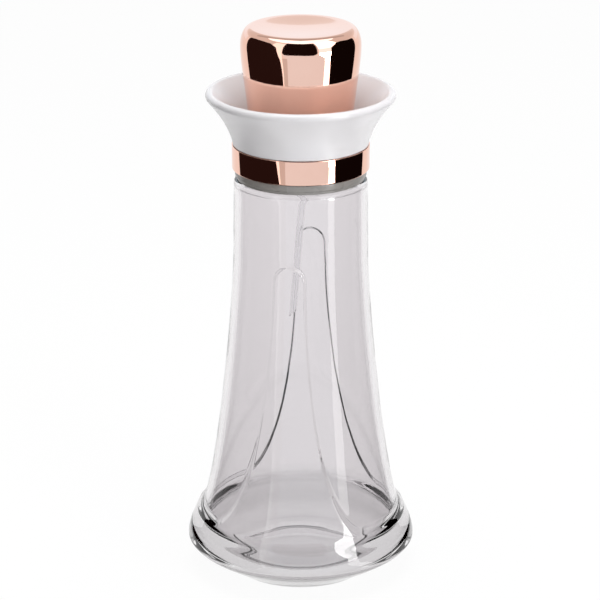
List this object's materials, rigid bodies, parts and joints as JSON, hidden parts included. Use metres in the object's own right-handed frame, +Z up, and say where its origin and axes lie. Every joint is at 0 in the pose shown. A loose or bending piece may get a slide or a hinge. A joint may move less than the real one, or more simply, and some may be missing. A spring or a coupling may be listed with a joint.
{
  "type": "oil cruet",
  "caption": "Flared clear glass oil bottle with raised tongues, a screw-on white drip funnel with a pour spout, and a round lift-off plug cap over the spout.",
  "frame": {"origin": "middle of the ring that the glass stands on, at the level of the table", "axes": "+Z up along the bottle; the two raised tongues of the glass face -Y and +Y, the recessed panels -X and +X"},
  "size_m": [0.097, 0.097, 0.2371],
  "materials": {
    "clear_glass": "clear pressed glass, polished",
    "grey_silicone": "grey silicone, satin",
    "clear_silicone": "pale silicone, satin",
    "white_plain_plastic": "plain white moulded plastic",
    "clear_plastic": "clear extruded tube",
    "closure_plastic": "white moulded plastic, satin",
    "white_gloss_plastic": "white moulded plastic, high gloss",
    "rose_gold_band": "rose gold plating, mirror",
    "rose_gold_cap": "rose gold plating, mirror",
    "cap_liner_plastic": "plain white moulded plastic",
    "seal_rubber": "soft seal ring"
  },
  "bodies": {
    "bottle": {"glass_bottle": "clear_glass", "shoulder_ring": "grey_silicone"},
    "insert": {"pour_spout": "white_plain_plastic", "vent_tube": "clear_plastic", "mouth_seal": "clear_silicone"},
    "collar": {"funnel_collar": "white_gloss_plastic", "screw_closure": "closure_plastic", "neck_band": "rose_gold_band"},
    "cap": {"cap_shell": "rose_gold_cap", "cap_liner": "cap_liner_plastic", "cap_seal_ring": "seal_rubber"}
  },
  "joints": [
    {"name": "collar_rise", "type": "slide", "parent": "bottle", "child": "insert", "axis": [0, 0, 1], "range_m": [0, 0.005]},
    {"name": "collar_turn", "type": "hinge", "parent": "insert", "child": "collar", "pos_m": [0, 0, 0.19], "axis": [0, 0, 1], "range_deg": [0, 450]},
    {"name": "cap_lift", "type": "slide", "parent": "insert", "child": "cap", "axis": [0, 0, 1], "range_m": [0, 0.055]}
  ],
  "couplings": [
    {"joint": "collar_rise", "follows": "collar_turn", "m_per_rad": 0.00063662}
  ]
}
